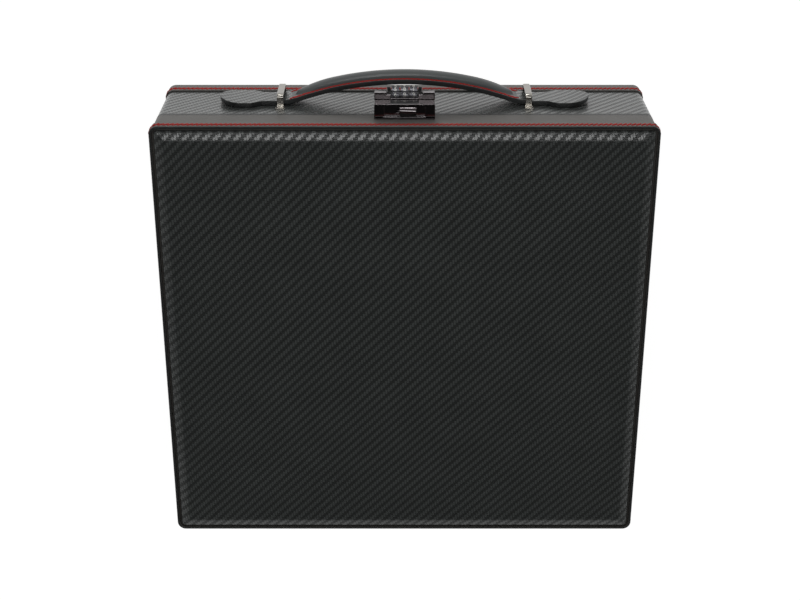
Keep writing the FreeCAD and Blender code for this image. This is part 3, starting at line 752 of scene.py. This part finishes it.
class WATCHBOX_OT_stitches(bpy.types.Operator):
    """Rows of red thread round both bands and along the handle"""

    bl_idname = "watchbox.stitches"
    bl_label = "Stitches"
    corner: FloatProperty(name="Corner", description="Corner radius of the bands", default=6.0 * MM,
                          unit="LENGTH")
    slant: FloatProperty(name="Slant", description="Sideways lean of each stitch", default=1.1)
    strap_slant: FloatProperty(name="Strap slant", description="Sideways lean of the stitches on the strap",
                               default=0.5)
    loop_room: FloatProperty(name="Loop room", description="The rows of the strap end this far off its loops",
                             default=7.0 * MM, unit="LENGTH")
    steps: IntProperty(name="Steps", description="Steps along a row of the strap", default=80)

    def execute(self, context):
        sizes = context.scene.watch_box_sizes
        for node, body in (("lid_edge_band", "lid"), ("body_edge_band", "case_body")):
            low, high = box_of(node)
            level = high.z - sizes.lid_row if body == "lid" else low.z + sizes.body_row
            line = round_the_band(low, high, self.corner, level)
            outward = partial(off_the_band, high - Vector((self.corner, self.corner, 0.0)))
            self.sew(context, node + "_stitches", body,
                     stitch_places(line, sizes.stitch_pitch, outward, self.slant))
        places = []
        for line in self.strap_lines(sizes):
            places.extend(stitch_places(line, sizes.stitch_pitch, Strap.outward, self.strap_slant))
        self.sew(context, "handle_stitches", "handle", places)
        return {"FINISHED"}

    def strap_lines(self, sizes):
        """The two lines along the edges of the strap, from loop to loop."""
        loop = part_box("handle_loop_left")
        end = (loop[0][0] + loop[1][0]) / 2 - self.loop_room
        ways = [-end + 2 * end * number / self.steps for number in range(self.steps + 1)]
        return [[Strap.top(x, side * (1.0 - sizes.strap_row / Strap.half_width(x))) for x in ways]
                for side in (-1, 1)]

    def sew(self, context, name, body, places):
        """One row of stitches at the given places."""
        row = join_copies(name, stitch_pattern(context.scene.watch_box_sizes), places)
        finish_piece(row, finishes(context)["twisted_thread"], body, smooth_angle=60.0)


class WATCHBOX_OT_cushions(bpy.types.Operator):
    """Watch cushions, blown up as cloth and copied into every compartment"""

    bl_idname = "watchbox.cushions"
    bl_label = "Cushions"
    voxel: FloatProperty(name="Voxel", description="Mesh size of the cloth", default=4.5 * MM, unit="LENGTH")
    pressure: FloatProperty(name="Pressure", description="Pressure of the filling", default=4.0)
    rounding: FloatProperty(name="Rounding", description="Rounding of the cut cover", default=9.0 * MM,
                            unit="LENGTH")
    room: FloatProperty(name="Room", description="Share of the swell that is cut off the start", default=0.7)

    def execute(self, context):
        sizes = context.scene.watch_box_sizes
        low, high = box_of(CUSHIONS[0])
        margin = sizes.swell * self.room
        pattern = add_block("cushion_pattern", low + Vector((margin, margin, 0)),
                            high - Vector((margin, margin, margin)))
        edit(pattern)
        bpy.ops.mesh.bevel(offset=self.rounding, segments=4, affect="EDGES")
        close_edit()
        remesh = pattern.modifiers.new("Remesh", "REMESH")
        remesh.mode = "VOXEL"
        remesh.voxel_size = self.voxel
        apply_modifiers(pattern)
        self.blow_up(context.scene, pattern, sizes)
        for vertex in pattern.data.vertices:
            vertex.co = [clamp(v, a, b) for v, a, b in zip(vertex.co, low, high)]
        smooth = pattern.modifiers.new("Subdivision", "SUBSURF")
        smooth.levels = 1
        smooth.render_levels = 1
        apply_modifiers(pattern)
        leather = finishes(context)["cushion_leather"]
        for name in CUSHIONS:
            copy = bpy.data.objects.new(name.replace("watch_cushion", "cushion"), pattern.data.copy())
            context.collection.objects.link(copy)
            copy.data.transform(Matrix.Translation(Vector(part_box(name)[0]) - low))
            finish_piece(copy, leather, "case_body", smooth_angle=60.0)
            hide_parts(name)
        bpy.data.objects.remove(pattern)
        return {"FINISHED"}

    def blow_up(self, scene, pattern, sizes):
        """Swells the pattern under pressure, with the movement of each point capped."""
        start = [vertex.co.copy() for vertex in pattern.data.vertices]
        pick(pattern)
        cloth = pattern.modifiers.new("Cloth", "CLOTH")
        cloth.settings.use_pressure = True
        cloth.settings.uniform_pressure_force = self.pressure
        cloth.settings.effector_weights.gravity = 0.0
        for number in range(1, sizes.sim_frames + 1):
            scene.frame_set(number)
        bpy.ops.object.modifier_apply(modifier=cloth.name)
        scene.frame_set(1)
        for vertex, place in zip(pattern.data.vertices, start):
            move = vertex.co - place
            if move.length > sizes.swell:
                vertex.co = place + move * (sizes.swell / move.length)


class WATCHBOX_OT_lid_pad(bpy.types.Operator):
    """Soft pad inside the lid, domed between its edges"""

    bl_idname = "watchbox.lid_pad"
    bl_label = "Lid pad"
    rise: FloatProperty(name="Rise", description="How far the pad domes", default=4.0 * MM, unit="LENGTH")
    rounding: FloatProperty(name="Rounding", description="Rounding of its edges", default=2.0 * MM,
                            unit="LENGTH")
    across: IntProperty(name="Across", description="Steps across the lid", default=60)
    along: IntProperty(name="Along", description="Steps from the handle wall to the hinge", default=56)
    squareness: IntProperty(name="Squareness", description="How close to its edges the pad stays full",
                            default=14)

    def execute(self, context):
        low, high = box_of("lid_pad")
        middle, half = (low + high) / 2, (high - low) / 2
        pad = add_slab("lid_pad_suede", self.across, self.along)
        for vertex in pad.data.vertices:
            u, v = vertex.co.x, vertex.co.y
            dome = (1.0 - abs(u) ** self.squareness) * (1.0 - abs(v) ** self.squareness)
            level = high.z if vertex.co.z > 0.5 else low.z + self.rise * (1.0 - dome)
            vertex.co = (middle.x + u * half.x, middle.y + v * half.y, level)
        face_outwards(pad)
        round_edges(pad, self.rounding, segments=4, angle=50)
        apply_modifiers(pad)
        finish_piece(pad, finishes(context)["suede_lining"], "lid", smooth_angle=50.0)
        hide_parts("lid_pad")
        return {"FINISHED"}


class WATCHBOX_OT_digits(bpy.types.Operator):
    """Plain numbers round each wheel of the lock"""

    bl_idname = "watchbox.digits"
    bl_label = "Digits"
    height: FloatProperty(name="Height", description="How far the paint stands up", default=0.08 * MM,
                          unit="LENGTH")
    type_size: FloatProperty(name="Type size", description="Size of the type over the height of a number",
                             default=1.35)
    lead: IntProperty(name="Lead", description="Numbers that each wheel is ahead of the last", default=3)

    def execute(self, context):
        for number, name in enumerate(WHEELS):
            low, high = box_of(name)
            centre = (low + high) / 2
            radius = (high.y - low.y) / 2
            size = context.scene.watch_box_sizes.digit * self.type_size
            made = []
            for figure in range(10):
                turn = 2 * math.pi * (figure + self.lead * number) / 10
                made.append(self.digit(figure, size, turn, centre, radius))
            pick(made[0])
            for part in made[1:]:
                part.select_set(True)
            bpy.ops.object.join()
            made[0].name = "%s_digits" % name
            finish_piece(made[0], finishes(context)["digit_paint"], "wheel_%d" % (number + 1),
                         smooth_angle=30.0)
        return {"FINISHED"}

    def digit(self, figure, size, turn, centre, radius):
        """One number, upright to someone who faces the lid, on its place round the rim."""
        bpy.ops.object.select_all(action="DESELECT")
        bpy.ops.object.text_add()
        text = bpy.context.object.data
        text.body = str(figure)
        text.size = size
        text.align_x = "CENTER"
        text.align_y = "CENTER"
        text.extrude = self.height
        bpy.ops.object.convert(target="MESH")
        mesh = bpy.context.object
        out = Vector((0.0, -math.cos(turn), math.sin(turn)))
        right = Vector((-1.0, 0.0, 0.0))
        facing = Matrix((right, out.cross(right), out)).transposed().to_4x4()
        mesh.matrix_world = Matrix.Translation(centre + out * radius) @ facing
        settle(mesh)
        return mesh


# Name, place, width and height, power in watts, and whether glossy surfaces mirror the lamp itself.
LAMPS = (
    ("back_light", (0.1, -0.81, -1.1), (0.2, 0.2), 18.0, False),
    ("top_light", (0.1, -1.45, 0.15), (0.6, 0.1), 4.5, True),
    ("left_light", (1.3, 0.7, 0.5), (0.6, 0.6), 5.0, False),
    ("right_light", (-1.3, 0.7, 0.5), (0.6, 0.6), 5.0, False),
    ("front_light", (0.0, -0.66, 1.29), (1.3, 0.2), 6.0, True),
)
LAMP_TARGET = Vector((0.0, 0.0, 0.05))


class WATCHBOX_OT_stage(bpy.types.Operator):
    """Floor, studio lights and the camera"""

    bl_idname = "watchbox.stage"
    bl_label = "Stage"
    tilt: FloatProperty(name="Tilt", description="Angle of the view to the lid's normal",
                        default=math.radians(25.08), subtype="ANGLE")
    distance: FloatProperty(name="Distance", description="From the lens to the lid", default=1.0262,
                            unit="LENGTH")
    aim: FloatProperty(name="Aim", description="Height of the aimed point over the hinge side",
                       default=0.1903, unit="LENGTH")
    lens: FloatProperty(name="Lens", description="Focal length in millimetres", default=66.2)
    sideways: FloatProperty(name="Sideways", description="Camera's shift across the case", default=0.0031,
                            unit="LENGTH")
    floor_size: FloatProperty(name="Floor size", description="Side of the floor", default=8.0, unit="LENGTH")
    floor_glow: FloatProperty(name="Floor glow", description="What makes the floor look white", default=0.9)
    room_light: FloatProperty(name="Room light", description="Light of the room on the case", default=0.1)

    def execute(self, context):
        self.floor(context.scene.watch_box_colours)
        self.world(context.scene)
        for name, place, size, power, mirrored in LAMPS:
            self.lamp(name, Vector(place), size, power, mirrored)
        self.camera(context.scene)
        context.scene.view_settings.view_transform = "Standard"
        return {"FINISHED"}

    def floor(self, colours):
        """Pale floor that takes a soft shadow, and that the camera, metal and gloss see as white."""
        bpy.ops.object.select_all(action="DESELECT")
        bpy.ops.mesh.primitive_plane_add(size=self.floor_size, location=(0, 0, CAD_BOX[0][2] - 0.1 * MM))
        floor = bpy.context.object
        floor.name = "floor"
        settle(floor)
        material, tree = start_material("white_floor")
        rays = add_node(tree, "ShaderNodeLightPath")
        mirrored = add_node(tree, MATHS, {0: rays["Is Glossy Ray"], 1: rays["Is Transmission Ray"]},
                            operation="MAXIMUM")[0]
        seen = add_node(tree, MATHS, {0: rays["Is Camera Ray"], 1: mirrored}, operation="MAXIMUM")[0]
        strength = add_node(tree, MATHS, {0: seen, 1: self.floor_glow}, operation="MULTIPLY")[0]
        surface = add_node(tree, "ShaderNodeBsdfDiffuse", {"Color": linear(colours.floor)})[0]
        glow = add_node(tree, "ShaderNodeEmission", {"Strength": strength})[0]
        both = add_node(tree, "ShaderNodeAddShader", {0: surface, 1: glow})[0]
        add_node(tree, "ShaderNodeOutputMaterial", {"Surface": both})
        floor.data.materials.append(material)
        floor.visible_shadow = False

    def world(self, scene):
        """White backdrop for the camera, a dim room for the case, and for gloss a room that is white at eye
        level and dark overhead."""
        scene.world = bpy.data.worlds.new("studio")
        scene.world.use_nodes = True
        tree = scene.world.node_tree
        tree.nodes.clear()
        rays = add_node(tree, "ShaderNodeLightPath")
        way = add_node(tree, COORDS)["Generated"]
        height = add_node(tree, SPLIT, {0: way})[2]
        mirrored = add_node(tree, RANGE, {0: height, 1: 0.15, 2: 0.75, 3: 1.0, 4: 0.03})[0]
        lit = add_node(tree, MIX, {0: rays["Is Glossy Ray"], 2: self.room_light, 3: mirrored})[0]
        strength = add_node(tree, MIX, {0: rays["Is Camera Ray"], 2: lit, 3: 1.0})[0]
        backdrop = add_node(tree, "ShaderNodeBackground", {"Color": (1, 1, 1, 1), "Strength": strength})[0]
        add_node(tree, "ShaderNodeOutputWorld", {"Surface": backdrop})

    def lamp(self, name, place, size, power, mirrored):
        """One soft box that faces the case."""
        data = bpy.data.lights.new(name, "AREA")
        data.shape = "RECTANGLE"
        data.size, data.size_y = size
        data.energy = power
        lamp = bpy.data.objects.new(name, data)
        bpy.context.collection.objects.link(lamp)
        lamp.location = place
        lamp.visible_glossy = mirrored
        lamp.rotation_euler = (LAMP_TARGET - place).to_track_quat("-Z", "Y").to_euler()

    def camera(self, scene):
        """The case stands on its hinge side in the picture, so up in the picture is -Y here."""
        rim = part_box("lid_edge_band")[1]
        up = Vector((0.0, -math.cos(self.tilt), -math.sin(self.tilt)))
        look = Vector((0.0, math.sin(self.tilt), -math.cos(self.tilt)))
        target = Vector((self.sideways, rim[1] - self.aim, rim[2]))
        data = bpy.data.cameras.new("camera")
        data.lens = self.lens
        data.sensor_width = 36.0
        camera = bpy.data.objects.new("camera", data)
        bpy.context.collection.objects.link(camera)
        camera.location = target - look * self.distance
        camera.rotation_euler = Matrix((look.cross(up), up, -look)).transposed().to_euler()
        scene.camera = camera


PIECES = (WATCHBOX_OT_finishes, WATCHBOX_OT_lid_panel, WATCHBOX_OT_split_binding, WATCHBOX_OT_handle,
          WATCHBOX_OT_stitches, WATCHBOX_OT_cushions, WATCHBOX_OT_lid_pad, WATCHBOX_OT_digits,
          WATCHBOX_OT_stage)


class WATCHBOX_PT_panel(bpy.types.Panel):
    """Pieces of the watch box"""

    bl_label = "Watch box"
    bl_idname = "WATCHBOX_PT_panel"
    bl_space_type = "VIEW_3D"
    bl_region_type = "UI"
    bl_category = "Watch box"

    def draw(self, context):
        for piece in PIECES:
            self.layout.operator(piece.bl_idname)
        for group in (context.scene.watch_box_sizes, context.scene.watch_box_colours):
            for name in group.bl_rna.properties.keys():
                if name not in ("rna_type", "name"):
                    self.layout.prop(group, name)


CLASSES = (WatchBoxSizes, WatchBoxColours) + PIECES + (WATCHBOX_PT_panel,)


def register():
    for part in CLASSES:
        bpy.utils.register_class(part)
    bpy.types.Scene.watch_box_sizes = PointerProperty(type=WatchBoxSizes)
    bpy.types.Scene.watch_box_colours = PointerProperty(type=WatchBoxColours)


def unregister():
    del bpy.types.Scene.watch_box_colours
    del bpy.types.Scene.watch_box_sizes
    for part in reversed(CLASSES):
        bpy.utils.unregister_class(part)


def main():
    register()
    for piece in PIECES:
        group, name = piece.bl_idname.split(".")
        getattr(getattr(bpy.ops, group), name)()


if __name__ == "__main__":
    main()
